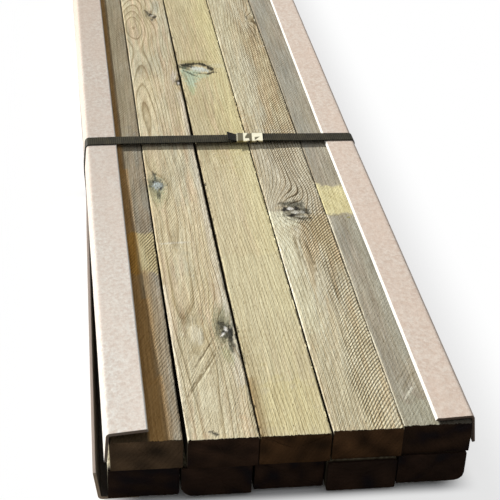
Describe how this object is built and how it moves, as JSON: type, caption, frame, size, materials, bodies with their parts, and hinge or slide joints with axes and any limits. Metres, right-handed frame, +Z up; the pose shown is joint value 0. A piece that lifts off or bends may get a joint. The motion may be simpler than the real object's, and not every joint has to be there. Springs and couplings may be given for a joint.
{
  "type": "bundle of pine battens",
  "caption": "Long flat bundle of sawn pine battens in layers, with paperboard angles along its edges, held by flat plastic bands closed with crimped steel seals.",
  "frame": {"origin": "under the middle of the bundle, on the floor plane that the bands rest on", "axes": "+X across the bundle, +Y along the battens away from the pictured end, +Z up"},
  "size_m": [0.2836, 2.4068, 0.0608],
  "materials": {
    "pine": "rough sawn, unpainted",
    "paperboard": "matte pressed solid board",
    "strapping": "matte black, waffle embossed",
    "seal_steel": "plain crimped sheet"
  },
  "bodies": {
    "root": {"batten_top_1": "pine", "batten_top_2": "pine", "batten_top_3": "pine", "batten_top_4": "pine", "batten_top_5": "pine", "batten_bottom_1": "pine", "batten_bottom_2": "pine", "batten_bottom_3": "pine", "batten_bottom_4": "pine", "batten_bottom_5": "pine", "edge_protector_top_left": "paperboard", "edge_protector_top_right": "paperboard", "edge_protector_bottom_left": "paperboard", "edge_protector_bottom_right": "paperboard", "strap_front": "strapping", "strap_back": "strapping", "strap_seal_front": "seal_steel", "strap_seal_back": "seal_steel"}
  },
  "joints": []
}
